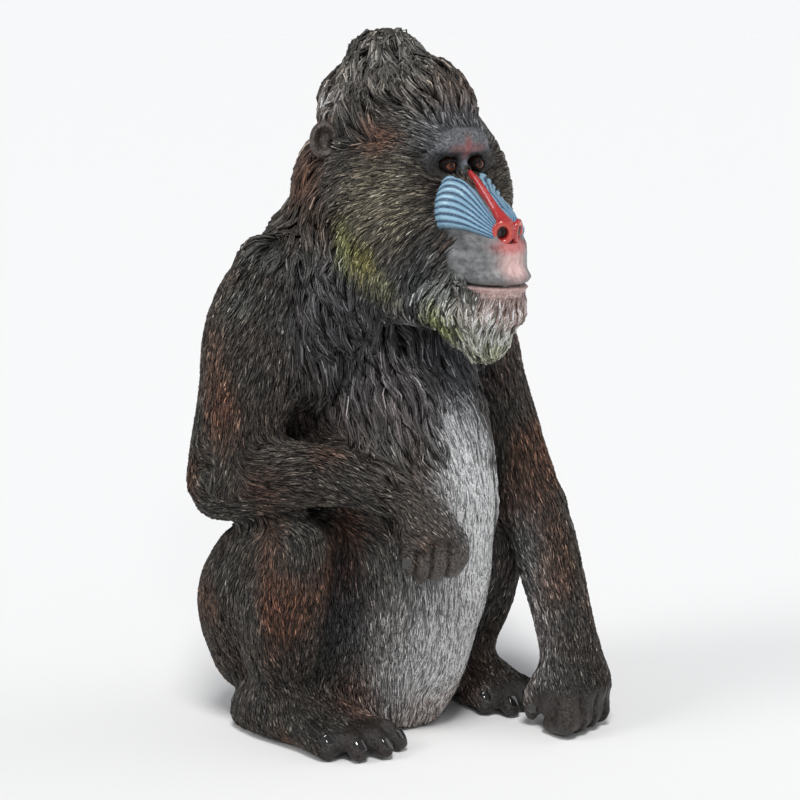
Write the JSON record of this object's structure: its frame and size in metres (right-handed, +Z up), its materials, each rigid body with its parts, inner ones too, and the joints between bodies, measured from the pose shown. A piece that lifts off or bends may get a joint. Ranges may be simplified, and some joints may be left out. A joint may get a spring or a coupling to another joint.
{
  "type": "mandrill statue",
  "caption": "Life-size painted resin statue of a sitting male mandrill with fur moulded in relief, one arm across its knee and the other fist on the ground.",
  "frame": {"origin": "on the floor, under the middle of the whole statue's bounding box", "axes": "+Z up; the animal looks along -Y; its own left side is at +X"},
  "size_m": [0.5126, 0.5014, 0.9311],
  "materials": {
    "fur_paint": "dark grey-brown paint over moulded fur, dry-brushed paler on the ridges, satin",
    "skin_paint": "dark brown paint over bare skin, satin",
    "belly_paint": "pale grey paint over moulded fur, satin",
    "beard_paint": "off-white beard with a yellow-green edge, satin",
    "nose_paint": "red gloss paint",
    "cheek_paint": "light blue paint with darker grooves",
    "eye_gloss": "amber-brown eye under clear gloss"
  },
  "bodies": {
    "root": {"belly": "belly_paint", "cheek_ridges_L": "cheek_paint", "cheek_ridges_R": "cheek_paint", "ear_L": "skin_paint", "ear_R": "skin_paint", "eye_L": "eye_gloss", "eye_R": "eye_gloss", "foot_L": "skin_paint", "foot_R": "skin_paint", "forearm_L": "fur_paint", "forearm_R": "fur_paint", "hand_L": "skin_paint", "hand_R": "skin_paint", "head": "fur_paint", "jaw": "beard_paint", "neck": "fur_paint", "nose": "nose_paint", "rump": "fur_paint", "shin_L": "fur_paint", "shin_R": "fur_paint", "tail": "fur_paint", "thigh_L": "fur_paint", "thigh_R": "fur_paint", "torso": "fur_paint", "upper_arm_L": "fur_paint", "upper_arm_R": "fur_paint"}
  },
  "joints": []
}
